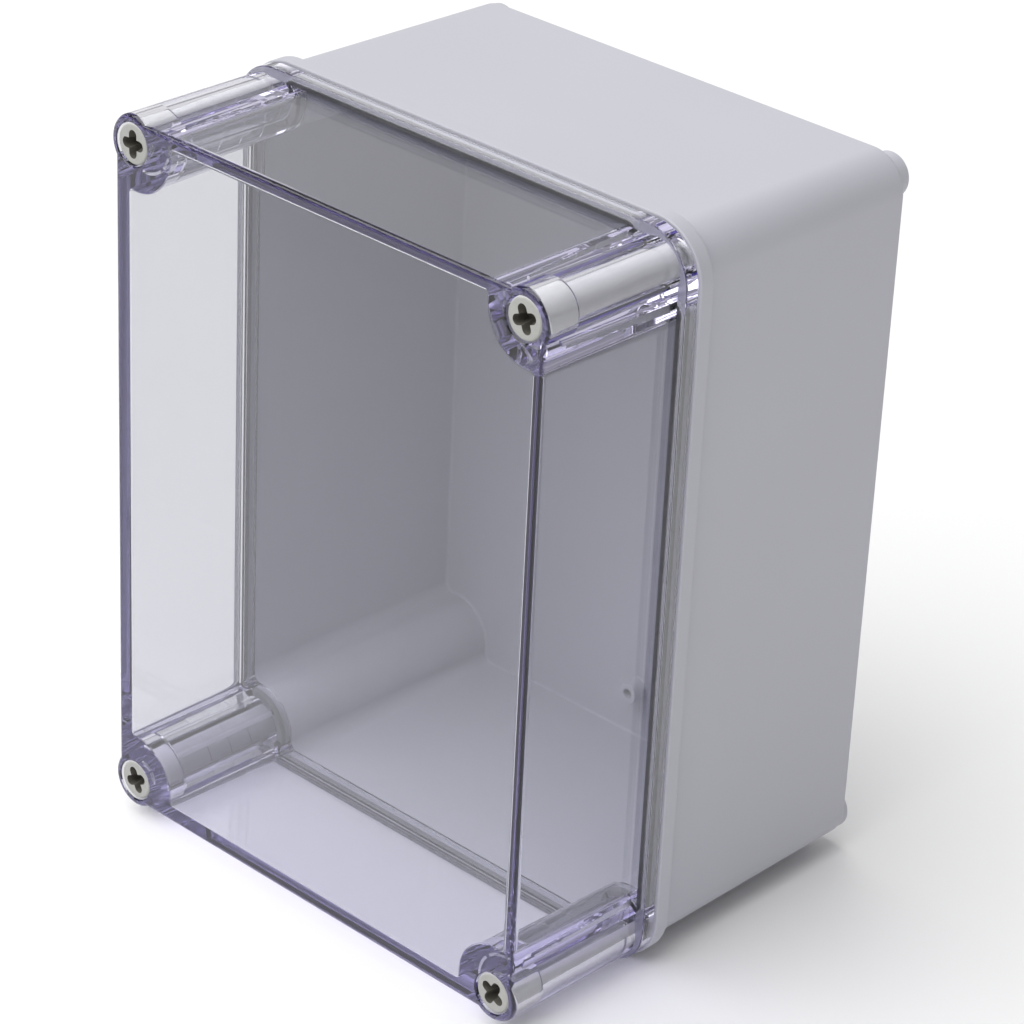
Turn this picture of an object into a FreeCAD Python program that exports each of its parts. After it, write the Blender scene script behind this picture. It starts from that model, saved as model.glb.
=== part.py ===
"""Wall-mounting plastic enclosure: light grey base, deep clear cover, seal and four long cover screws.

Row frame, millimetres: X to the right, Y from the clear front face to the mounting feet, Z up.
Every piece is drawn about the middle of the seam, the plane where cover and base meet: the cover
lies at negative Y, the base at positive Y, and the four screw axes stand at the pitch corners.
"""
import FreeCAD, Part
import math
import os
import Sketcher

os.makedirs("parts", exist_ok=True)
doc = FreeCAD.newDocument("enclosure")

# Driving dimensions

SIZES = [
    # grey base
    ("base_width", 150.0),
    ("base_height", 200.0),
    ("base_depth", 79.5),
    ("base_corner_radius", 10.5),
    ("base_draft", 0.7),
    ("base_wall", 2.6),
    ("back_wall", 3.5),
    ("back_chamfer", 1.0),
    ("rim_overhang", 0.7),
    ("rim_depth", 4.5),
    ("rim_corner_radius", 15.0),
    ("column_wall", 1.05),
    ("column_growth", 0.8),
    ("column_fillet", 4.0),
    ("foot_radius", 6.0),
    ("foot_height", 3.2),
    ("fixing_hole_radius", 2.25),
    ("fixing_seat_thickness", 5.0),
    ("plate_boss_inset", 18.0),
    ("plate_boss_radius", 3.0),
    ("plate_boss_height", 5.0),
    ("plate_pilot_radius", 1.4),
    ("plate_pilot_depth", 7.0),
    # seal between the two halves
    ("seam_gap", 0.3),
    ("seal_fillet", 2.3),
    ("groove_width", 2.4),
    ("groove_depth", 3.2),
    ("tongue_height", 1.6),
    ("tongue_side_gap", 0.5),
    ("gasket_clearance", 0.05),
    # clear cover
    ("cover_depth", 49.0),
    ("front_wall", 3.0),
    ("cover_wall", 3.8),
    ("cover_setback", 1.1),
    ("cover_corner_radius", 6.4),
    ("cover_draft", 1.4),
    ("front_chamfer", 0.9),
    ("pillar_wall", 1.95),
    ("boss_wall", 1.7),
    ("boss_fillet", 2.5),
    ("core_wall", 2.4),
    ("core_width", 1.5),
    ("core_cap", 21.0),
    ("core_tip_width", 1.0),
    ("core_tip_cap", 10.5),
    ("core_rib_angle", 9.0),
    ("core_sweep_angle", 48.0),
    ("flange_web", 1.0),
    ("flange_lip", 1.5),
    ("flange_corner_radius", 13.5),
    # cover screws
    ("screw_inset", 7.5),
    ("head_radius", 5.5),
    ("head_length", 11.0),
    ("head_recess", 0.4),
    ("screw_clearance", 0.4),
    ("shank_radius", 4.3),
    ("shank_end_gap", 1.2),
    ("thread_bore_radius", 3.8),
    ("thread_clearance", 0.3),
    ("thread_reach", 14.0),
    ("cross_length", 7.2),
    ("cross_width", 2.4),
    ("cross_depth", 4.0),
    ("cross_taper", 6.0),
]

sheet = doc.addObject("Spreadsheet::Sheet", "sizes")
for row, (alias, number) in enumerate(SIZES, start=1):
    sheet.set(f"A{row}", alias)
    sheet.set(f"B{row}", str(number))
    sheet.setAlias(f"B{row}", alias)
doc.recompute()


class Size:
    """A length with its present value and the sheet expression that gives it."""

    def __init__(self, text, value):
        self.text = text
        self.value = float(value)

    def joined(self, sign, other, value):
        right = other.text if isinstance(other, Size) else str(other)
        return Size(f"({self.text} {sign} {right})", value)

    def __add__(self, other):
        return self.joined("+", other, self.value + number_of(other))

    def __sub__(self, other):
        return self.joined("-", other, self.value - number_of(other))

    def __mul__(self, other):
        return self.joined("*", other, self.value * number_of(other))

    def __truediv__(self, other):
        return self.joined("/", other, self.value / number_of(other))

    def __neg__(self):
        return Size(f"(0 - {self.text})", -self.value)

    def tangent(self):
        return Size(f"tan({self.text})", math.tan(math.radians(self.value)))


def number_of(length):
    return length.value if isinstance(length, Size) else float(length)


def size(alias):
    return Size(f"sizes.{alias}", sheet.get(alias))


def fixed(number):
    return Size(str(number), number)


def bind(feature, prop, length):
    feature.setExpression(prop, length.text)


# Lengths worked out from the driving ones. A reach is how far an outline stands outside the screw axes.

NOTHING = fixed(0)
FLAT = 1e-4
CORNERS = [(1, 1), (-1, 1), (-1, -1), (1, -1)]
half_x = size("base_width") / 2 - size("screw_inset")
half_z = size("base_height") / 2 - size("screw_inset")

seam = NOTHING
cover_back = -size("seam_gap")
cover_front = -size("cover_depth")
cover_inside = cover_front + size("front_wall")
head_face = cover_front + size("head_recess")
head_seat = head_face + size("head_length")
groove_floor = cover_back - size("groove_depth")
tongue_top = -size("tongue_height")
base_back = size("base_depth")
base_floor = base_back - size("back_wall")
feet_back = base_back + size("foot_height")

head_bore_radius = size("head_radius") + size("screw_clearance")
shank_bore_radius = size("shank_radius") + size("screw_clearance")
pillar_radius = head_bore_radius + size("pillar_wall")
core_inner_radius = head_bore_radius + size("core_wall")
core_outer_radius = core_inner_radius + size("core_width")
boss_radius = core_outer_radius + size("boss_wall")
seal_radius = core_inner_radius + size("core_width") / 2
tongue_width = size("groove_width") - size("tongue_side_gap") * 2
column_radius = seal_radius + tongue_width / 2 + size("column_wall")

seal_reach = size("screw_inset")
flange_reach = seal_reach + size("groove_width") / 2 + size("flange_lip")
rim_reach = flange_reach + size("rim_overhang")
base_floor_reach = size("screw_inset") - size("base_wall")
base_mouth_reach = base_floor_reach + base_back * size("base_draft").tangent()
cover_front_reach = size("screw_inset") - size("cover_setback")
cover_floor_reach = cover_front_reach - size("cover_wall")
cover_mouth_reach = cover_floor_reach + size("cover_depth") * size("cover_draft").tangent()

seam_y = (size("cover_depth") - feet_back) / 2
middle_z = half_z + rim_reach


# Sketch helpers: every point and radius is dimensioned from the sheet

def new_body(name):
    body = doc.addObject("PartDesign::Body", name)
    body.Label = name
    return body


def new_sketch(body, name, depth, role="XZ_Plane"):
    """A sketch on a plane of the body; on the XZ plane its normal is -Y, so depth is where it cuts Y."""
    sketch = body.newObject("Sketcher::SketchObject", name)
    plane = next(feature for feature in body.Origin.OriginFeatures if feature.Role == role)
    sketch.AttachmentSupport = [(plane, "")]
    sketch.MapMode = "FlatFace"
    bind(sketch, "AttachmentOffset.Base.z", -depth)
    sketch.AttachmentOffset = FreeCAD.Placement(FreeCAD.Vector(0, 0, -depth.value), FreeCAD.Rotation())
    return sketch


def point(x, z):
    return FreeCAD.Vector(x, z, 0)


def dimension(sketch, kind, place, length):
    index = sketch.addConstraint(Sketcher.Constraint(kind, *place, length.value))
    bind(sketch, f"Constraints[{index}]", length)


def locate(sketch, geometry, end, x, z):
    """Holds one point of a sketch at x, z from the origin; a plain zero is held on the axis."""
    for kind, align, length in (("DistanceX", "Vertical", x), ("DistanceY", "Horizontal", z)):
        if length is NOTHING:
            sketch.addConstraint(Sketcher.Constraint(align, -1, 1, geometry, end))
        else:
            dimension(sketch, kind, (-1, 1, geometry, end), length)


def add_circle(sketch, x, z, radius):
    centre = point(number_of(x), number_of(z))
    index = sketch.addGeometry(Part.Circle(centre, FreeCAD.Vector(0, 0, 1), radius.value))
    locate(sketch, index, 3, x, z)
    dimension(sketch, "Radius", (index,), radius)


def add_polygon(sketch, points):
    """A closed outline of straight edges, each corner held from the origin."""
    first = sketch.GeometryCount
    places = [point(x.value, z.value) for x, z in points]
    for index, place in enumerate(places):
        sketch.addGeometry(Part.LineSegment(place, places[(index + 1) % len(places)]))
    for index, (x, z) in enumerate(points):
        previous = first + (index - 1) % len(points)
        sketch.addConstraint(Sketcher.Constraint("Coincident", previous, 2, first + index, 1))
        locate(sketch, first + index, 1, x, z)


def arc(centre, radius, start, end):
    """A counter-clockwise arc between two angles in degrees."""
    circle = Part.Circle(centre, FreeCAD.Vector(0, 0, 1), radius)
    return Part.ArcOfCircle(circle, math.radians(start), math.radians(end))


def hold_four_sides(sketch, sides, reach_x, reach_z):
    """Keeps the top, left, bottom and right sides of an outline square to the axes and at their reach."""
    top, left, bottom, right = sides
    for side, align in zip(sides, ("Horizontal", "Vertical", "Horizontal", "Vertical")):
        sketch.addConstraint(Sketcher.Constraint(align, side))
    dimension(sketch, "DistanceY", (-1, 1, top, 1), reach_z)
    dimension(sketch, "DistanceX", (left, 1, -1, 1), reach_x)
    dimension(sketch, "DistanceY", (bottom, 1, -1, 1), reach_z)
    dimension(sketch, "DistanceX", (-1, 1, right, 1), reach_x)


def add_rounded_rectangle(sketch, reach_x, reach_z, radius):
    """A rectangle about the origin with four round corners, held by its half sizes and one radius."""
    first = sketch.GeometryCount
    rx, rz, r = reach_x.value, reach_z.value, radius.value
    lines = []
    arcs = []
    for quarter, (sx, sz) in enumerate(CORNERS):
        centre = point(sx * (rx - r), sz * (rz - r))
        arcs.append(sketch.addGeometry(arc(centre, r, 90 * quarter, 90 * quarter + 90)))
        following = CORNERS[(quarter + 1) % 4]
        angle = math.radians(90 * quarter + 90)
        start = centre + point(r * math.cos(angle), r * math.sin(angle))
        target = point(following[0] * (rx - r), following[1] * (rz - r))
        end = target + point(r * math.cos(angle), r * math.sin(angle))
        lines.append(sketch.addGeometry(Part.LineSegment(start, end)))
    for quarter in range(4):
        sketch.addConstraint(Sketcher.Constraint("Tangent", arcs[quarter], 2, lines[quarter], 1))
        sketch.addConstraint(Sketcher.Constraint("Tangent", lines[quarter], 2, arcs[(quarter + 1) % 4], 1))
    dimension(sketch, "Radius", (arcs[0],), radius)
    for other in arcs[1:]:
        sketch.addConstraint(Sketcher.Constraint("Equal", arcs[0], other))
    hold_four_sides(sketch, lines, reach_x, reach_z)


def add_seam_outline(sketch, reach, radius, fillet):
    """The outline that runs along the four walls and bends inward round each screw column.

    Each wall stands at reach outside the screw axes, each column has its radius about the screw
    axis, and a fillet joins the column to the wall on either side of it.
    """
    w, r, f = reach.value, radius.value, fillet.value
    across = math.sqrt((r + f) ** 2 - (w - f) ** 2)
    turn = math.degrees(math.atan2(across, w - f))
    axes = [point(sx * half_x.value, sz * half_z.value) for sx, sz in CORNERS]
    entries = []
    columns = []
    exits = []
    walls = []
    for quarter, axis in enumerate(axes):
        angle = 90 * quarter
        u = point(math.cos(math.radians(angle)), math.sin(math.radians(angle)))
        v = point(-u.y, u.x)
        before = axis + u * (w - f) - v * across
        after = axis + v * (w - f) - u * across
        entries.append(sketch.addGeometry(arc(before, f, angle, angle + 180 - turn)))
        columns.append(sketch.addGeometry(arc(axis, r, angle + 90 + turn, angle + 360 - turn)))
        exits.append(sketch.addGeometry(arc(after, f, angle - 90 + turn, angle + 90)))
        wall_end = axes[(quarter + 1) % 4] + v * w + u * across
        walls.append(sketch.addGeometry(Part.LineSegment(after + v * f, wall_end)))
    for quarter in range(4):
        following = (quarter + 1) % 4
        sketch.addConstraint(Sketcher.Constraint("Tangent", entries[quarter], 2, columns[quarter], 2))
        sketch.addConstraint(Sketcher.Constraint("Tangent", columns[quarter], 1, exits[quarter], 1))
        sketch.addConstraint(Sketcher.Constraint("Tangent", exits[quarter], 2, walls[quarter], 1))
        sketch.addConstraint(Sketcher.Constraint("Tangent", walls[quarter], 2, entries[following], 1))
    for column, (sx, sz) in zip(columns, CORNERS):
        locate(sketch, column, 3, half_x * sx, half_z * sz)
    dimension(sketch, "Radius", (columns[0],), radius)
    dimension(sketch, "Radius", (entries[0],), fillet)
    for other in columns[1:]:
        sketch.addConstraint(Sketcher.Constraint("Equal", columns[0], other))
    for other in entries[1:] + exits:
        sketch.addConstraint(Sketcher.Constraint("Equal", entries[0], other))
    hold_four_sides(sketch, walls, half_x + reach, half_z + reach)


def add_ring_sector(sketch, x, z, inner, outer, low, high):
    """A sector of a ring about x, z, between two angles in degrees, with straight radial ends."""
    axis = point(x.value, z.value)
    arcs = []
    for radius in (inner, outer):
        arcs.append(sketch.addGeometry(arc(axis, radius.value, low.value, high.value)))
        dimension(sketch, "Radius", (arcs[-1],), radius)
    locate(sketch, arcs[0], 3, x, z)
    sketch.addConstraint(Sketcher.Constraint("Coincident", arcs[0], 3, arcs[1], 3))
    for angle, end in ((low, 1), (high, 2)):
        ray = point(math.cos(math.radians(angle.value)), math.sin(math.radians(angle.value)))
        line = sketch.addGeometry(Part.LineSegment(axis + ray * inner.value, axis + ray * outer.value))
        sketch.addConstraint(Sketcher.Constraint("Coincident", arcs[0], end, line, 1))
        sketch.addConstraint(Sketcher.Constraint("Coincident", arcs[1], end, line, 2))
        sketch.addConstraint(Sketcher.Constraint("PointOnObject", arcs[0], 3, line))
        index = sketch.addConstraint(Sketcher.Constraint("Angle", line, math.radians(angle.value)))
        bind(sketch, f"Constraints[{index}]", angle)


# Features

def pad(sketch, name, length, backward=False, draft=None):
    """Adds material from the sketch towards -Y, or towards +Y when backward."""
    feature = sketch.getParentGeoFeatureGroup().newObject("PartDesign::Pad", name)
    feature.Profile = sketch
    feature.Reversed = backward
    bind(feature, "Length", length)
    if draft is not None:
        bind(feature, "TaperAngle", draft)
    return feature


def pocket(sketch, name, length, forward=False, draft=None):
    """Cuts from the sketch towards +Y, or towards -Y when forward."""
    feature = sketch.getParentGeoFeatureGroup().newObject("PartDesign::Pocket", name)
    feature.Profile = sketch
    feature.Reversed = forward
    bind(feature, "Length", length)
    if draft is not None:
        bind(feature, "TaperAngle", draft)
    return feature


def loft(kind, body, name, sections):
    """Joins two outlines at different depths by straight lines, as added or cut material."""
    feature = body.newObject(kind, name)
    feature.Profile = sections[0]
    feature.Sections = sections[1:]
    feature.Ruled = True
    return feature


def hollow(body, name, mouth, floor):
    """Cuts the space between two seam outlines, each given as depth, reach, column radius and fillet."""
    sections = []
    for label, (depth, reach, radius, fillet) in (("Mouth", mouth), ("Floor", floor)):
        sketch = new_sketch(body, name + label, depth)
        add_seam_outline(sketch, reach, radius, fillet)
        sections.append(sketch)
    return loft("PartDesign::SubtractiveLoft", body, name, sections)


def add_seal_ring(sketch, width, clearance=NOTHING):
    """Two seam outlines, half the width to either side of the seal line."""
    half = width / 2 - clearance
    add_seam_outline(sketch, seal_reach + half, seal_radius - half, size("seal_fillet") + half)
    add_seam_outline(sketch, seal_reach - half, seal_radius + half, size("seal_fillet") - half)


def add_corner_circles(sketch, radius):
    for sx, sz in CORNERS:
        add_circle(sketch, half_x * sx, half_z * sz, radius)


def chamfer_edges(body, name, length, depth):
    """Chamfers the edges of the body's last feature that lie at one depth."""
    doc.recompute()
    last = body.Tip
    picked = []
    for number, edge in enumerate(last.Shape.Edges, start=1):
        box = edge.BoundBox
        if abs(box.YMin - depth.value) < FLAT and abs(box.YMax - depth.value) < FLAT:
            picked.append(f"Edge{number}")
    feature = body.newObject("PartDesign::Chamfer", name)
    feature.Base = (last, picked)
    bind(feature, "Size", length)
    return feature


def place(body, x, z, turn=0.0):
    """Puts a piece drawn about the seam's middle, or about a screw axis, into the row frame."""
    level = middle_z + z
    body.Placement = FreeCAD.Placement(
        FreeCAD.Vector(x.value, seam_y.value, level.value),
        FreeCAD.Rotation(FreeCAD.Vector(0, 1, 0), turn),
    )
    for prop, length in (("x", x), ("y", seam_y), ("z", level)):
        bind(body, f"Placement.Base.{prop}", length)


# Grey base: a drafted box with a rim, four screw columns, feet, a tongue and two plate bosses

def make_base():
    body = new_body("base")
    corner, chamfer = size("base_corner_radius"), size("back_chamfer")
    outlines = []
    for name, depth, growth, radius in (
        ("BackOutline", base_back, -chamfer, corner - chamfer),
        ("BackEdgeOutline", base_back - chamfer, chamfer * size("base_draft").tangent(), corner),
        ("MouthOutline", seam, base_back * size("base_draft").tangent(), corner),
    ):
        outlines.append(new_sketch(body, name, depth))
        half_width, half_height = size("base_width") / 2 + growth, size("base_height") / 2 + growth
        add_rounded_rectangle(outlines[-1], half_width, half_height, radius)
    loft("PartDesign::AdditiveLoft", body, "Shell", outlines)
    rim = new_sketch(body, "RimOutline", seam)
    add_rounded_rectangle(rim, half_x + rim_reach, half_z + rim_reach, size("rim_corner_radius"))
    pad(rim, "Rim", size("rim_depth"), backward=True)
    feet = new_sketch(body, "FootCircles", base_floor)
    add_corner_circles(feet, size("foot_radius"))
    pad(feet, "Feet", feet_back - base_floor, backward=True)
    column_floor_radius = column_radius + size("column_growth")
    hollow(
        body,
        "Inside",
        (seam, base_mouth_reach, column_radius, size("column_fillet")),
        (base_floor, base_floor_reach, column_floor_radius, size("column_fillet")),
    )
    tongue = new_sketch(body, "TongueRing", seam)
    add_seal_ring(tongue, tongue_width)
    pad(tongue, "Tongue", size("tongue_height"))
    bores = new_sketch(body, "ThreadBoreCircles", seam)
    add_corner_circles(bores, size("thread_bore_radius"))
    pocket(bores, "ThreadBores", feet_back - size("fixing_seat_thickness"))
    holes = new_sketch(body, "FixingHoleCircles", seam)
    add_corner_circles(holes, size("fixing_hole_radius"))
    pocket(holes, "FixingHoles", feet_back)
    boss_top = base_floor - size("plate_boss_height")
    bosses = new_sketch(body, "PlateBossCircles", base_floor)
    pilots = new_sketch(body, "PlatePilotCircles", boss_top)
    for side in (1, -1):
        level = (size("base_height") / 2 - size("plate_boss_inset")) * side
        add_circle(bosses, NOTHING, level, size("plate_boss_radius"))
        add_circle(pilots, NOTHING, level, size("plate_pilot_radius"))
    pad(bosses, "PlateBosses", size("plate_boss_height"))
    pocket(pilots, "PlatePilots", size("plate_pilot_depth"))
    place(body, NOTHING, NOTHING)
    return body


# Clear cover: thin walls, four screw pillars, a flange with the seal groove, and cored columns

def make_cover():
    body = new_body("cover")
    front = new_sketch(body, "FrontOutline", cover_front)
    add_rounded_rectangle(
        front, half_x + cover_front_reach, half_z + cover_front_reach, size("cover_corner_radius")
    )
    pad(front, "Walls", cover_back - cover_front, backward=True, draft=size("cover_draft"))
    pillars = new_sketch(body, "PillarCircles", cover_front)
    add_corner_circles(pillars, pillar_radius)
    pad(pillars, "Pillars", cover_back - cover_front, backward=True)
    chamfer_edges(body, "FrontEdge", size("front_chamfer"), cover_front)
    flange = new_sketch(body, "FlangeOutline", cover_back)
    add_rounded_rectangle(
        flange, half_x + flange_reach, half_z + flange_reach, size("flange_corner_radius")
    )
    pad(flange, "Flange", size("groove_depth") + size("flange_web"))
    hollow(
        body,
        "Inside",
        (cover_back, cover_mouth_reach, boss_radius, size("boss_fillet")),
        (cover_inside, cover_floor_reach, boss_radius, size("boss_fillet")),
    )
    groove = new_sketch(body, "GrooveRing", cover_back)
    add_seal_ring(groove, size("groove_width"))
    pocket(groove, "Groove", size("groove_depth"), forward=True)
    rib_edge = size("core_rib_angle") / 2
    far_edge = rib_edge + size("core_sweep_angle")
    for name, width, cap in (
        ("Cores", size("core_width"), size("core_cap")),
        ("CoreTips", size("core_tip_width"), size("core_tip_cap")),
    ):
        sectors = new_sketch(body, name + "Outline", cover_back)
        for quarter, (sx, sz) in enumerate(CORNERS):
            inward = fixed(225 + 90 * quarter)
            for low, high in ((inward - far_edge, inward - rib_edge), (inward + rib_edge, inward + far_edge)):
                outer = core_inner_radius + width
                add_ring_sector(sectors, half_x * sx, half_z * sz, core_inner_radius, outer, low, high)
        pocket(sectors, name, cover_back - cover_front - cap, forward=True)
    heads = new_sketch(body, "HeadBoreCircles", cover_front)
    add_corner_circles(heads, head_bore_radius)
    pocket(heads, "HeadBores", head_seat - cover_front)
    shanks = new_sketch(body, "ShankBoreCircles", cover_front)
    add_corner_circles(shanks, shank_bore_radius)
    pocket(shanks, "ShankBores", size("cover_depth"))
    place(body, NOTHING, NOTHING)
    return body


# Seal: one ring on the floor of the cover's groove, pressed by the base's tongue

def make_gasket():
    body = new_body("gasket")
    underside = tongue_top - size("gasket_clearance")
    ring = new_sketch(body, "SealRing", underside)
    add_seal_ring(ring, size("groove_width"), size("gasket_clearance"))
    pad(ring, "Ring", underside - groove_floor)
    place(body, NOTHING, NOTHING)
    return body


# Cover screw: long head, plain shank, narrower thread end, and a cross recess in the face

def make_screw(name, sx, sz, turn):
    body = new_body(name)
    profile = new_sketch(body, "Profile", NOTHING, role="XY_Plane")
    head, shank = size("head_radius"), size("shank_radius")
    thread = size("thread_bore_radius") - size("thread_clearance")
    shank_end = cover_back - size("shank_end_gap")
    tip = size("thread_reach")
    add_polygon(profile, [
        (NOTHING, head_face),
        (head, head_face),
        (head, head_seat),
        (shank, head_seat),
        (shank, shank_end),
        (thread, shank_end),
        (thread, tip),
        (NOTHING, tip),
    ])
    turned = body.newObject("PartDesign::Revolution", "Turned")
    turned.Profile = profile
    turned.ReferenceAxis = (profile, ["V_Axis"])
    turned.Angle = 360
    arm, half = size("cross_length") / 2, size("cross_width") / 2
    cross = new_sketch(body, "Cross", head_face)
    add_polygon(cross, [
        (arm, -half), (arm, half), (half, half), (half, arm),
        (-half, arm), (-half, half), (-arm, half), (-arm, -half),
        (-half, -half), (-half, -arm), (half, -arm), (half, -half),
    ])
    pocket(cross, "Recess", size("cross_depth"), draft=-size("cross_taper"))
    place(body, half_x * sx, half_z * sz, turn)
    return body


# The pieces, and how far each screw's recess is turned

SCREWS = [
    ("cover_screw_top_right", 1, 1, -20.0),
    ("cover_screw_top_left", -1, 1, -1.0),
    ("cover_screw_bottom_left", -1, -1, -25.0),
    ("cover_screw_bottom_right", 1, -1, 30.0),
]
pieces = [make_base(), make_cover(), make_gasket()]
pieces += [make_screw(*screw) for screw in SCREWS]
doc.recompute()

for feature in doc.Objects:
    if "Invalid" in feature.State or "Error" in feature.State:
        raise RuntimeError(f"{feature.Name} failed to build: {feature.State}")
for body in pieces:
    if body.Shape.isNull() or not body.Shape.isValid() or len(body.Shape.Solids) != 1:
        raise RuntimeError(f"{body.Label} is not one valid solid")
    box = body.Shape.BoundBox
    extent = f"{box.XLength:.2f} x {box.YLength:.2f} x {box.ZLength:.2f} mm"
    print(f"{body.Label}: {body.Shape.Volume:.0f} mm3, {extent}")
    body.Shape.exportStep(f"parts/{body.Label}.step")
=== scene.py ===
import math

import bmesh
import bpy
from mathutils import Matrix, Vector


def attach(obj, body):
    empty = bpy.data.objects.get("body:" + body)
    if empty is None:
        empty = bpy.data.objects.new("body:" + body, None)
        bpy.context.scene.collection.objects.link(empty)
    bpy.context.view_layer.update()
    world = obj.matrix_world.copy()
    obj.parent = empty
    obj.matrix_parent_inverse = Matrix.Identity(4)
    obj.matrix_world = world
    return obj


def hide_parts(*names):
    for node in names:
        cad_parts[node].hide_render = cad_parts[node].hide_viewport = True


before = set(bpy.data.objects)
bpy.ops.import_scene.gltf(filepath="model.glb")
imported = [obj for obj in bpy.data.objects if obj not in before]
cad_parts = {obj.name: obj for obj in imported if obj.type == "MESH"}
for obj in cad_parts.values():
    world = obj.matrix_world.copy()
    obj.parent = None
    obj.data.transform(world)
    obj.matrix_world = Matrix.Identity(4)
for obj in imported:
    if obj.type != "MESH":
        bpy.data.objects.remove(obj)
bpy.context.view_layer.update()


# Stage: a plain pale floor under soft studio light, seen as the photograph sees the enclosure.
# A very wide softbox hangs high over the enclosure and a little to its front left, and a second
# one stands behind it on the left, where its tops mirror it.

bpy.ops.object.select_all(action="DESELECT")
bpy.ops.mesh.primitive_plane_add(size=16, location=(0, 0, 0))
floor = bpy.context.object
floor.name = "floor"
floor_paint = bpy.data.materials.new("floor_paint")
floor_paint.use_nodes = True
paint = floor_paint.node_tree.nodes["Principled BSDF"].inputs
paint["Base Color"].default_value = (0.94, 0.94, 0.94, 1)
paint["Roughness"].default_value = 0.7
floor.data.materials.append(floor_paint)

lit_point = Vector((0, 0, 0.1))
for name, place, width, watts in (
    ("high_softbox", Vector((-0.85, -1.5, 4.3)), 5.4, 263),
    ("back_left_softbox", Vector((-2.6, 3.0, 2.2)), 3.4, 20),
):
    bpy.ops.object.light_add(type="AREA", location=place)
    softbox = bpy.context.object
    softbox.name = name
    softbox.data.size = width
    softbox.data.energy = watts
    softbox.rotation_euler = (lit_point - place).to_track_quat("-Z", "Y").to_euler()

world = bpy.data.worlds.new("pale_room")
world.use_nodes = True
room_light = world.node_tree.nodes["Background"].inputs
room_light["Color"].default_value = (1, 1, 1, 1)
room_light["Strength"].default_value = 0.31
bpy.context.scene.world = world
bpy.context.scene.view_settings.view_transform = "Standard"

# Light is reflected many times inside the cover's clear walls before it leaves at an edge.
light_paths = bpy.context.scene.cycles
light_paths.max_bounces = 28
light_paths.glossy_bounces = 20
light_paths.transmission_bounces = 28
light_paths.transparent_max_bounces = 28

azimuth, elevation, roll, distance = 0.749, 0.485, 0.047, 0.987225
target = Vector((0.008004, -0.00255, 0.100868))
back = Vector((
    math.sin(azimuth) * math.cos(elevation),
    -math.cos(azimuth) * math.cos(elevation),
    math.sin(elevation),
))
level_right = Vector((0, 0, 1)).cross(back).normalized()
level_up = back.cross(level_right)
right = level_right * math.cos(roll) + level_up * math.sin(roll)
up = level_up * math.cos(roll) - level_right * math.sin(roll)
turned = Matrix((right, up, back)).transposed().to_4x4()
bpy.ops.object.camera_add()
camera = bpy.context.object
camera.matrix_world = Matrix.Translation(target + back * distance) @ turned
camera.data.lens = 134.48
camera.data.sensor_width = 36
camera.data.clip_start = 0.01
bpy.context.scene.camera = camera


# Base: the light grey half that is fixed to the wall, moulded in one from ABS with a fine
# spark-eroded grain. A rim runs round its mouth, four columns inside take the cover screws,
# four feet stand behind it, and a tongue round the mouth presses the seal.

seam_y = -0.01685
middle_z = 0.1034
half_x = 0.0675
half_z = 0.0925
corners = ((1, 1), (-1, 1), (-1, -1), (1, -1))
same_point = 1e-6


def start_line(name, x, depth, z):
    """Opens a new mesh with one point, from which a line is drawn; depth runs back from the seam."""
    bpy.ops.object.select_all(action="DESELECT")
    bpy.ops.mesh.primitive_plane_add(size=0.001, location=(x, seam_y + depth, middle_z + z))
    bpy.ops.object.transform_apply()
    piece = bpy.context.object
    piece.name = name
    bpy.ops.object.mode_set(mode="EDIT")
    bpy.ops.mesh.select_mode(type="VERT")
    bpy.ops.mesh.select_all(action="SELECT")
    bpy.ops.mesh.merge(type="CENTER")
    return piece


def draw_straight(x, depth, z):
    bpy.ops.mesh.extrude_vertices_move(TRANSFORM_OT_translate={"value": (x, depth, z)})


def draw_round(x, z, degrees, finest=5):
    """Carries the end of the line round a centre, counter-clockwise as seen from the front."""
    steps = max(2, round(abs(degrees) / finest))
    centre = (x, 0, middle_z + z)
    bpy.ops.mesh.spin(steps=steps, angle=math.radians(degrees), center=centre, axis=(0, 1, 0))


def draw_rounded_rectangle(name, depth, half_width, half_height, radius):
    """A rectangle with round corners, drawn round the seam's middle."""
    piece = start_line(name, half_width, depth, half_height - radius)
    for quarter, (sx, sz) in enumerate(corners):
        draw_round(sx * (half_width - radius), sz * (half_height - radius), 90)
        if quarter % 2:
            draw_straight(0, 0, -2 * sz * (half_height - radius))
        else:
            draw_straight(-2 * sx * (half_width - radius), 0, 0)
    return piece


def draw_seam_line(name, depth, reach, radius, fillet):
    """The line that runs at a reach outside the screw axes and bends in round each column."""
    across = math.sqrt((radius + fillet) ** 2 - (reach - fillet) ** 2)
    turn = math.degrees(math.atan2(across, reach - fillet))
    axes = [Vector((sx * half_x, sz * half_z)) for sx, sz in corners]
    piece = start_line(name, half_x + reach, depth, half_z - across)
    for quarter, axis in enumerate(axes):
        ahead = Vector((math.cos(math.pi / 2 * quarter), math.sin(math.pi / 2 * quarter)))
        aside = Vector((-ahead.y, ahead.x))
        draw_round(*(axis + ahead * (reach - fillet) - aside * across), 180 - turn)
        draw_round(*axis, 2 * turn - 270)
        draw_round(*(axis + aside * (reach - fillet) - ahead * across), 180 - turn)
        side = axes[(quarter + 1) % 4] - axis + ahead * 2 * across
        draw_straight(side.x, 0, side.y)
    return piece


def fill_line(piece, toward):
    """Joins the line's ends and fills it with a face that looks to the front, -1, or the back, 1."""
    bpy.ops.mesh.select_all(action="SELECT")
    bpy.ops.mesh.remove_doubles(threshold=same_point)
    bpy.ops.mesh.edge_face_add()
    piece.update_from_editmode()
    if piece.data.polygons[0].normal.y * toward < 0:
        bpy.ops.mesh.flip_normals()


def raise_face(height, inward=0.0):
    """Carries the selected face along its normal, and its edges inward as the draft asks."""
    bpy.ops.mesh.inset(thickness=inward, depth=height, use_even_offset=True)


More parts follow.
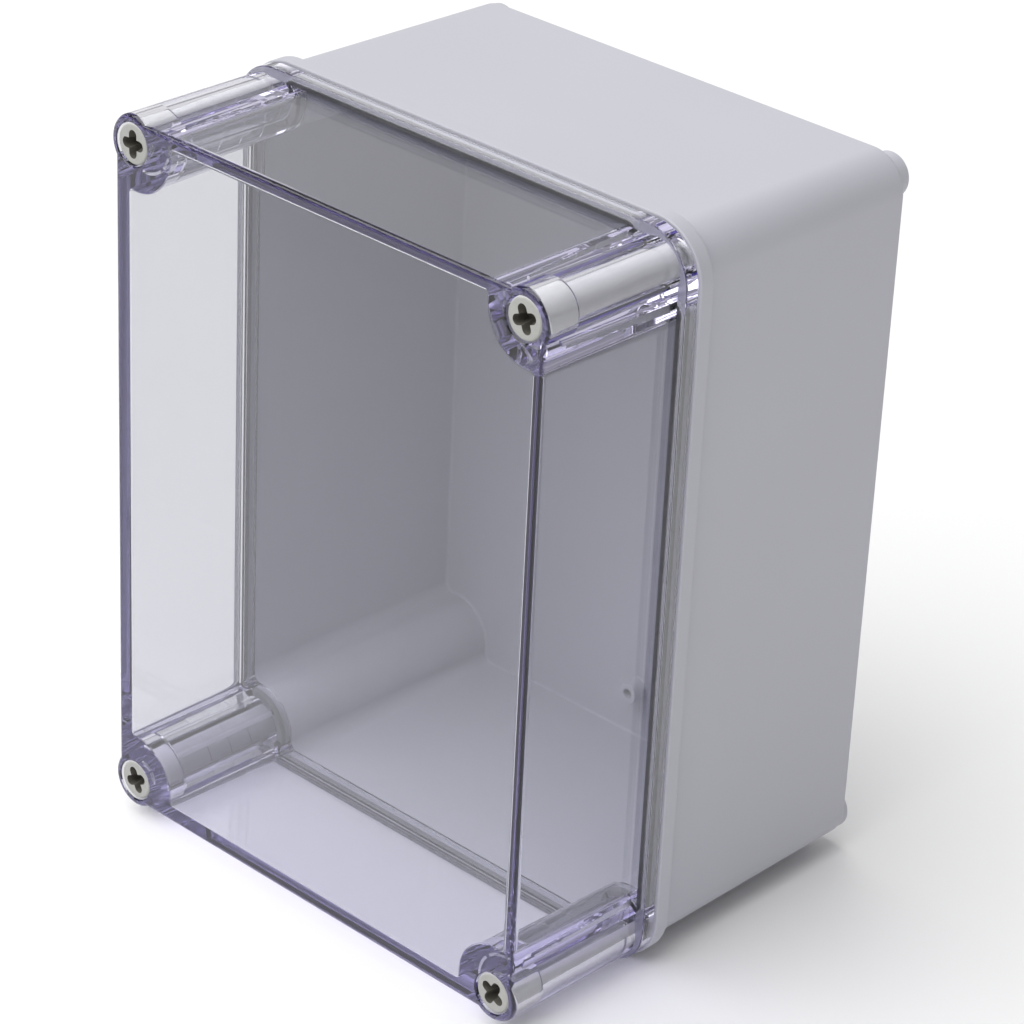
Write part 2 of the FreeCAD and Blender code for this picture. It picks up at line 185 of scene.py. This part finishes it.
def close_block():
    """Fills the open ends of a raised or turned block, and turns its faces outwards."""
    bpy.ops.mesh.select_all(action="SELECT")
    bpy.ops.mesh.remove_doubles(threshold=same_point)
    bpy.ops.mesh.fill_holes(sides=0)
    bpy.ops.mesh.select_all(action="SELECT")
    bpy.ops.mesh.normals_make_consistent(inside=False)
    bpy.ops.object.mode_set(mode="OBJECT")


def raise_block(piece, toward, height, tangent=0.0):
    """Raises the drawn line to the front, -1, or the back, 1, as a block whose draft has this tangent."""
    fill_line(piece, toward)
    raise_face(height, height * tangent)
    close_block()


def raise_selected(height):
    """Carries the selected faces to the front, and closes the walls that they leave behind."""
    bpy.ops.mesh.extrude_region_move(TRANSFORM_OT_translate={"value": (0, -height, 0)})


def finish_raising():
    bpy.ops.mesh.select_all(action="SELECT")
    bpy.ops.mesh.normals_make_consistent(inside=False)
    bpy.ops.object.mode_set(mode="OBJECT")


def raise_ring(piece, width, height):
    """Raises a band of one width inside the drawn line to the front."""
    fill_line(piece, -1)
    bpy.ops.mesh.inset(thickness=width, depth=0, use_even_offset=True)
    bpy.ops.mesh.delete(type="FACE")
    bpy.ops.mesh.select_mode(type="FACE")
    bpy.ops.mesh.select_all(action="SELECT")
    raise_selected(height)
    finish_raising()


def turn_profile(name, x, z, points, steps=72):
    """Turns a profile of (radius, depth) points about an axis that runs from front to back."""
    piece = start_line(name, x + points[0][0], points[0][1], z)
    for (near, before), (far, after) in zip(points, points[1:]):
        draw_straight(far - near, after - before, 0)
    bpy.ops.mesh.select_all(action="SELECT")
    bpy.ops.mesh.spin(steps=steps, angle=math.tau, center=(x, 0, middle_z + z), axis=(0, 1, 0))
    close_block()
    return piece


def round_edges(piece, depth, width, segments=4):
    """Rounds the sharp edges that lie at one depth."""
    bpy.context.view_layer.objects.active = piece
    bpy.ops.object.mode_set(mode="EDIT")
    bpy.ops.mesh.select_mode(type="EDGE")
    bpy.ops.mesh.select_all(action="DESELECT")
    bpy.ops.mesh.edges_select_sharp(sharpness=math.radians(40))
    mesh = bmesh.from_edit_mesh(piece.data)
    for edge in mesh.edges:
        if edge.select and any(abs(end.co.y - seam_y - depth) > 2e-6 for end in edge.verts):
            edge.select_set(False)
    mesh.select_flush_mode()
    bpy.ops.mesh.bevel(offset=width, segments=segments, profile=0.5, clamp_overlap=False)
    bpy.ops.object.mode_set(mode="OBJECT")


def copy_to_corner(piece, sx, sz, degrees):
    """Copies a piece that was drawn at the top right screw axis to another one, turned about it."""
    copy = piece.copy()
    copy.data = piece.data.copy()
    bpy.context.scene.collection.objects.link(copy)
    bpy.ops.object.select_all(action="DESELECT")
    copy.select_set(True)
    bpy.context.view_layer.objects.active = copy
    bpy.ops.transform.rotate(
        value=math.radians(degrees),
        orient_axis="Y",
        center_override=(half_x, seam_y, middle_z + half_z),
    )
    bpy.ops.transform.translate(value=((sx - 1) * half_x, 0, (sz - 1) * half_z))
    bpy.ops.object.transform_apply()
    return copy


def set_at_corners(piece):
    """Repeats a piece drawn at the top right screw axis at the other three, and joins the four."""
    copies = [piece]
    for quarter in range(1, 4):
        copies.append(copy_to_corner(piece, *corners[quarter], 90 * quarter))
    for copy in copies:
        copy.select_set(True)
    bpy.context.view_layer.objects.active = piece
    bpy.ops.object.join()
    return piece


def combine(piece, tool, operation):
    """Joins a tool to the piece (UNION) or cuts it out (DIFFERENCE), and takes the tool away.

    Depths are brought to whole micrometres first, so that faces meant to be level are level.
    """
    for corner in (*piece.data.vertices, *tool.data.vertices):
        corner.co.y = round(corner.co.y, 6)
    bpy.ops.object.select_all(action="DESELECT")
    piece.select_set(True)
    bpy.context.view_layer.objects.active = piece
    bpy.ops.object.modifier_add(type="BOOLEAN")
    boolean = piece.modifiers[-1]
    boolean.operation = operation
    boolean.object = tool
    boolean.solver = "EXACT"
    bpy.ops.object.modifier_apply(modifier=boolean.name)
    bpy.data.objects.remove(tool)
    bpy.ops.object.mode_set(mode="EDIT")
    bpy.ops.mesh.select_all(action="SELECT")
    bpy.ops.mesh.remove_doubles(threshold=3e-6)
    bpy.ops.object.mode_set(mode="OBJECT")


def finish_surface(piece):
    """Clears slivers, and shades the mesh smooth across roundings and flat on the flats."""
    bpy.ops.object.select_all(action="DESELECT")
    piece.select_set(True)
    bpy.context.view_layer.objects.active = piece
    bpy.ops.object.mode_set(mode="EDIT")
    bpy.ops.mesh.select_all(action="SELECT")
    bpy.ops.mesh.remove_doubles(threshold=2e-6)
    bpy.ops.mesh.dissolve_degenerate(threshold=same_point)
    bpy.ops.object.mode_set(mode="OBJECT")
    bpy.ops.object.shade_smooth_by_angle(angle=math.radians(32))
    bpy.ops.object.modifier_add(type="WEIGHTED_NORMAL")
    piece.modifiers[-1].keep_sharp = True
    bpy.ops.object.modifier_apply(modifier=piece.modifiers[-1].name)


class Wire:
    """One output of a material's nodes. Arithmetic on it adds the Math nodes that work it out."""

    def __init__(self, output):
        self.output = output

    def node(self, kind, settings, values, give=0):
        """Adds a node with its settings and its socket values or links, and gives one of its outputs."""
        tree = self.output.id_data
        new = tree.nodes.new(kind)
        for name, setting in settings.items():
            setattr(new, name, setting)
        for socket, value in values.items():
            if isinstance(value, Wire):
                tree.links.new(value.output, new.inputs[socket])
            else:
                new.inputs[socket].default_value = value
        return Wire(new.outputs[give])

    def calculate(self, operation, first, second):
        return self.node("ShaderNodeMath", {"operation": operation}, {0: first, 1: second})

    def __add__(self, other):
        return self.calculate("ADD", self, other)

    def __radd__(self, other):
        return self.calculate("ADD", other, self)

    def __sub__(self, other):
        return self.calculate("SUBTRACT", self, other)

    def __rsub__(self, other):
        return self.calculate("SUBTRACT", other, self)

    def __mul__(self, other):
        return self.calculate("MULTIPLY", self, other)

    def __rmul__(self, other):
        return self.calculate("MULTIPLY", other, self)

    def clamped(self):
        """This value, kept between 0 and 1."""
        settings = {"operation": "MULTIPLY", "use_clamp": True}
        return self.node("ShaderNodeMath", settings, {0: self, 1: 1})

    def noise(self, scale, detail=2.0, roughness=0.5):
        """Soft random patches over the surface, about 0 to 1, at a scale per metre."""
        values = {"Vector": self, "Scale": scale, "Detail": detail, "Roughness": roughness}
        return self.node("ShaderNodeTexNoise", {}, values)

    def blend(self, first, second):
        """A colour between two, by this value."""
        values = {0: self, 6: first, 7: second}
        return self.node("ShaderNodeMix", {"data_type": "RGBA"}, values, give=2)

    def relief(self, strength, distance):
        """A normal that follows this value as height."""
        values = {"Strength": strength, "Distance": distance, "Height": self}
        return self.node("ShaderNodeBump", {}, values)


def new_finish(name, **constants):
    """A material, the wire of its object coordinates, and its shader with the constants set."""
    material = bpy.data.materials.new(name)
    material.use_nodes = True
    nodes = material.node_tree.nodes
    for socket, value in constants.items():
        nodes["Principled BSDF"].inputs[socket.replace("_", " ")].default_value = value
    place = Wire(nodes.new("ShaderNodeTexCoord").outputs["Object"])
    return material, place, nodes["Principled BSDF"]


def feed(shader, **wires):
    for socket, wire in wires.items():
        shader.id_data.links.new(wire.output, shader.inputs[socket.replace("_", " ")])


base_draft = math.tan(math.radians(0.7))
base_depth = 0.0795
base = draw_rounded_rectangle(
    "base_moulding", 0, half_width=0.07597, half_height=0.10097, radius=0.01147
)
raise_block(base, 1, base_depth, base_draft)
round_edges(base, base_depth, 0.0012)

rim_depth = 0.0045
rim_rounding = 0.0005
rim = draw_rounded_rectangle("rim", 0, half_width=0.07839, half_height=0.10339, radius=0.015)
raise_block(rim, 1, rim_depth)
round_edges(rim, 0, rim_rounding)
round_edges(rim, rim_depth, rim_rounding)
combine(base, rim, "UNION")

foot_radius = 0.006
foot_end = 0.0827
feet = turn_profile("feet", half_x, half_z, [(foot_radius, 0.078), (foot_radius, foot_end)])
round_edges(feet, foot_end, 0.0004)
combine(base, set_at_corners(feet), "UNION")

inside = draw_seam_line(
    "inside", -0.001, reach=0.00587 + 0.001 * base_draft, radius=0.0108, fillet=0.004
)
raise_block(inside, 1, 0.077, base_draft)
round_edges(inside, 0.076, 0.0008)
combine(base, inside, "DIFFERENCE")

tongue = draw_seam_line("tongue", 0.001, reach=0.0082, radius=0.00835, fillet=0.003)
raise_ring(tongue, width=0.0014, height=0.0026)
round_edges(tongue, -0.0016, 0.0003, 3)
combine(base, tongue, "UNION")

thread_bore = 0.0038
fixing_hole = 0.00225
column_floor = 0.0777
bores = turn_profile("screw_bores", half_x, half_z, [
    (0.0053, -0.001), (thread_bore, 0.0005), (thread_bore, column_floor),
    (fixing_hole, column_floor), (fixing_hole, 0.084),
])
combine(base, set_at_corners(bores), "DIFFERENCE")

boss_profile = [
    (0.0014, 0.0712), (0.0016, 0.071), (0.0028, 0.071), (0.003, 0.0712), (0.003, 0.0755),
    (0.0038, 0.0765), (0.0014, 0.0765), (0.0014, 0.0712),
]
for side in (1, -1):
    boss = turn_profile("plate_boss", 0, side * 0.082, boss_profile, steps=48)
    combine(base, boss, "UNION")
finish_surface(base)

abs_grey, place, shader = new_finish("moulded_abs_grey", IOR=1.52)
cloud = place.noise(18, 3)
grain = place.noise(2600, 2, 0.6)
feed(
    shader,
    Base_Color=(cloud * 0.8 + grain * 0.2).blend((0.49, 0.49, 0.54, 1), (0.54, 0.54, 0.60, 1)),
    Roughness=0.38 + cloud * 0.1 + grain * 0.08,
    Normal=(grain + place.noise(700, 2) * 0.6).relief(0.035, 0.00004),
)
base.data.materials.clear()
base.data.materials.append(abs_grey)
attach(base, "base")
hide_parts("base")


# Cover: the deep clear half, moulded in one from polycarbonate and polished. Thin drafted walls
# carry a front plate, four pillars hold the screws, and cored slots behind the screws keep the
# pillars from sinking in. Its flange holds the seal in a groove.

cover_draft = math.tan(math.radians(1.4))
cover_front = -0.049
spread = 0.048 * cover_draft
cover = draw_rounded_rectangle(
    "clear_cover", -0.001,
    half_width=0.0739 + spread, half_height=0.0989 + spread, radius=0.0064 + spread,
)
raise_block(cover, -1, 0.048, cover_draft)
round_edges(cover, cover_front, 0.0014, 6)

pillar_radius = 0.00785
pillar_profile = [(pillar_radius, cover_front), (pillar_radius, -0.002)]
pillars = turn_profile("pillars", half_x, half_z, pillar_profile, steps=120)
round_edges(pillars, cover_front, 0.0014, 6)
combine(cover, set_at_corners(pillars), "UNION")

flange = draw_rounded_rectangle(
    "flange", -0.0003, half_width=0.0777, half_height=0.1027, radius=0.0135
)
raise_block(flange, -1, 0.0042)
round_edges(flange, -0.0003, 0.0003)
round_edges(flange, -0.0045, 0.0005)
combine(cover, flange, "UNION")

inside = draw_seam_line(
    "inside", 0.001, reach=0.0038 + 0.001 * cover_draft, radius=0.0115, fillet=0.0025
)
raise_block(inside, -1, 0.047, cover_draft)
round_edges(inside, -0.046, 0.0006)
combine(cover, inside, "DIFFERENCE")

groove = draw_seam_line("groove", 0.001, reach=0.0087, radius=0.00785, fillet=0.0035)
raise_ring(groove, width=0.0024, height=0.0045)
combine(cover, groove, "DIFFERENCE")

# Each pillar has two slots with a rib between them, on its side toward the cover's middle.
# A slot is drawn as strips of its width, and the outermost strip stops at the end of each step.
screw_axis = Vector((half_x, half_z))
inward = 225
half_rib = 4.5
sweep = 48
slot_radius = 0.0083
slot_widths = (0.0008, 0.0004, 0.0004, 0.0004)
slot_steps = ((0.0104, 0.0152), (0.0099, 0.0071), (0.0095, 0.0072), (0.0091, 0.01))
for start in (inward - half_rib - sweep, inward + half_rib):
    ray = Vector((math.cos(math.radians(start)), math.sin(math.radians(start))))
    near = screw_axis + ray * slot_radius
    slots = start_line("slots", near.x, 0.001, near.y)
    for width in slot_widths:
        draw_straight(ray.x * width, 0, ray.y * width)
    bpy.ops.mesh.select_all(action="SELECT")
    draw_round(*screw_axis, sweep, finest=4)
    bpy.ops.mesh.select_mode(type="FACE")
    bpy.ops.mesh.select_all(action="SELECT")
    for outermost, height in slot_steps:
        mesh = bmesh.from_edit_mesh(slots.data)
        for face in mesh.faces:
            middle = face.calc_center_median()
            off_axis = math.hypot(middle.x - screw_axis.x, middle.z - middle_z - screw_axis.y)
            if face.select and off_axis > outermost:
                face.select_set(False)
        raise_selected(height)
    finish_raising()
    combine(cover, set_at_corners(slots), "DIFFERENCE")

head_bore = 0.0057
shank_bore = 0.0045
seat_depth = -0.0376
bores = turn_profile("screw_bores", half_x, half_z, [
    (0.0061, -0.05), (0.0061, -0.0491), (head_bore, -0.0487),
    (head_bore, seat_depth), (shank_bore, seat_depth), (shank_bore, 0.001),
], steps=96)
combine(cover, set_at_corners(bores), "DIFFERENCE")
finish_surface(cover)

clear, place, shader = new_finish(
    "clear_polycarbonate",
    Base_Color=(0.83, 0.84, 0.84, 1),
    IOR=1.585,
    Transmission_Weight=1.0,
)
feed(shader, Roughness=0.006 + place.noise(60, 3) * 0.02)

# Lamps shine straight through the walls, and light that runs on inside a wall turns violet.
tree = clear.node_tree
lamp_ray = Wire(tree.nodes.new("ShaderNodeLightPath").outputs["Is Shadow Ray"])
see_through = lamp_ray.node("ShaderNodeBsdfTransparent", {}, {"Color": (0.91, 0.91, 0.92, 1)})
polished = Wire(shader.outputs[0])
surface = lamp_ray.node("ShaderNodeMixShader", {}, {0: lamp_ray, 1: polished, 2: see_through})
violet = {"Color": (0.25, 0.12, 0.78, 1), "Density": 12.5}
tint = lamp_ray.node("ShaderNodeVolumeAbsorption", {}, violet)
tree.links.new(surface.output, tree.nodes["Material Output"].inputs["Surface"])
tree.links.new(tint.output, tree.nodes["Material Output"].inputs["Volume"])
cover.data.materials.clear()
cover.data.materials.append(clear)
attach(cover, "cover")
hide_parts("cover")


# Seal: one soft grey ring of foamed rubber that lies on the floor of the cover's groove.
# The base's tongue presses into its middle.

seal_back = -0.00165
seal = draw_seam_line("seal_ring", seal_back, reach=0.00865, radius=0.0079, fillet=0.00345)
raise_ring(seal, width=0.0023, height=0.00185)
round_edges(seal, seal_back, 0.0005, 4)
round_edges(seal, -0.0035, 0.0003, 3)
finish_surface(seal)

foam, place, shader = new_finish("foamed_rubber", IOR=1.5)
cells = place.noise(3200, 3, 0.7)
mottle = place.noise(90) * 0.5 + cells * 0.5
feed(
    shader,
    Base_Color=mottle.blend((0.21, 0.21, 0.22, 1), (0.29, 0.29, 0.30, 1)),
    Roughness=0.7 + cells * 0.2,
    Normal=cells.relief(0.4, 0.00015),
)
seal.data.materials.clear()
seal.data.materials.append(foam)
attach(seal, "cover")
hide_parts("gasket")


# Cover screws: four long captive screws, moulded in one from pale glass-filled nylon, each with
# a deep head, a plain shank and a coarse thread that meets the base's column. Their cross
# recesses stopped at different angles when they were done up.

head_face = -0.0486
shank_radius = 0.0043
core_radius = 0.0029
screw = turn_profile("cover_screw", half_x, half_z, [
    (0.0048, head_face), (0.00505, -0.04855), (0.0053, -0.04835), (0.00545, -0.0481),
    (0.0055, -0.0478), (0.0055, -0.0379), (0.0054, seat_depth), (shank_radius, seat_depth),
    (shank_radius, -0.0018), (0.004, -0.0015), (core_radius, -0.0015), (core_radius, 0.0131),
    (0.0023, 0.014),
])

ridge_height = 0.0008
flank = 0.0005
crest = 0.0002
ridge = start_line("thread", half_x + 0.0027, 0.0002, half_z)
draw_straight(ridge_height, flank, 0)
draw_straight(0, crest, 0)
draw_straight(-ridge_height, flank, 0)
draw_straight(0, -2 * flank - crest, 0)
bpy.ops.mesh.select_all(action="SELECT")
bpy.ops.mesh.remove_doubles(threshold=same_point)
bpy.ops.object.mode_set(mode="OBJECT")
bpy.context.scene.cursor.location = (half_x, seam_y, middle_z + half_z)
bpy.ops.object.origin_set(type="ORIGIN_CURSOR")
bpy.ops.object.modifier_add(type="SCREW")
helix = ridge.modifiers[-1]
helix.axis = "Y"
helix.screw_offset = 0.002
helix.iterations = 6
helix.steps = 36
helix.render_steps = 36
bpy.ops.object.modifier_apply(modifier=helix.name)
# Turned a little, so that none of its corners lies on one of the screw's own.
ridge.rotation_euler.y = math.radians(1.3)
bpy.ops.object.transform_apply()
bpy.ops.object.mode_set(mode="EDIT")
bpy.ops.mesh.select_all(action="SELECT")
bpy.ops.mesh.remove_doubles(threshold=same_point)
bpy.ops.mesh.fill_holes(sides=5)
bpy.ops.mesh.normals_make_consistent(inside=False)
bpy.ops.object.mode_set(mode="OBJECT")
combine(screw, ridge, "UNION")

arm_end = 0.0024
arm_side = 0.001
recess = start_line("recess", half_x + arm_end, -0.0496, half_z - 0.0014)
for quarter in range(4):
    ahead = Vector((math.cos(math.pi / 2 * quarter), math.sin(math.pi / 2 * quarter)))
    aside = Vector((-ahead.y, ahead.x))
    draw_round(*(screw_axis + ahead * arm_end), 180, finest=15)
    draw_straight(-ahead.x * arm_side, 0, -ahead.y * arm_side)
    draw_straight(aside.x * arm_side, 0, aside.y * arm_side)
fill_line(recess, 1)
for height, slope in ((0.0016, 0), (0.0024, 0.0005), (0.001, 0.0004)):
    raise_face(height, slope)
close_block()
combine(screw, recess, "DIFFERENCE")
finish_surface(screw)

# The head's face is painted darker than the rest, as painted shade against the direct light and
# reflections it takes. The shank and sides are painted lighter for the light they lose behind the clear
# cover, and the recess is painted near black as painted shade.
nylon, place, shader = new_finish("glass_filled_nylon", IOR=1.53)
fibres = place.noise(1500, 4, 0.7)
streaks = place.noise(240, 3) * 0.5 + fibres * 0.5
face_shade_mottle = place.noise(420, 3) * 0.6 + fibres * 0.4
# Painted light: this lighter tone makes up for the light that the shank and sides lose behind the clear
# cover.
body_painted_lighter = streaks.blend((0.66, 0.66, 0.66, 1), (0.82, 0.82, 0.82, 1))
# Painted shade: this darker tone on the head's face holds back the direct light it takes.
face_painted_shade = face_shade_mottle.blend((0.36, 0.36, 0.34, 1), (0.54, 0.54, 0.52, 1))
behind_face = place.node("ShaderNodeSeparateXYZ", {}, {0: place}, give=1) - (seam_y + head_face)
feed(
    shader,
    Base_Color=(behind_face * 900).clamped().blend(face_painted_shade, body_painted_lighter),
    Roughness=0.55 + fibres * 0.16,
    Normal=fibres.relief(0.2, 0.00008),
)
# Painted shade: the cross recess is painted olive black, standing in for the shade deep inside it.
recess_shade_paint, place, shader = new_finish("painted_recess_shade", IOR=1.5)
recess_shade_mottle = place.noise(900, 4, 0.7)
feed(
    shader,
    Base_Color=recess_shade_mottle.blend((0.07, 0.065, 0.05, 1), (0.17, 0.16, 0.135, 1)),
    Roughness=0.6 + recess_shade_mottle * 0.2,
)
screw.data.materials.clear()
screw.data.materials.append(nylon)
screw.data.materials.append(recess_shade_paint)
# The faces inside the cross recess take the painted shade.
for face in screw.data.polygons:
    off_axis = math.hypot(face.center.x - half_x, face.center.z - middle_z - half_z)
    gets_painted_shade = off_axis < 0.0042 and -0.0484 < face.center.y - seam_y < -0.04
    face.material_index = int(gets_painted_shade)

# The angles are how far each recess is turned clockwise, as seen from the front.
for name, sx, sz, degrees in (
    ("top_right", 1, 1, -20),
    ("top_left", -1, 1, -1),
    ("bottom_left", -1, -1, -25),
    ("bottom_right", 1, -1, 30),
):
    copy = copy_to_corner(screw, sx, sz, -degrees)
    copy.name = "cover_screw_moulding_" + name
    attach(copy, "screw_" + name)
    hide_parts("cover_screw_" + name)
bpy.data.objects.remove(screw)
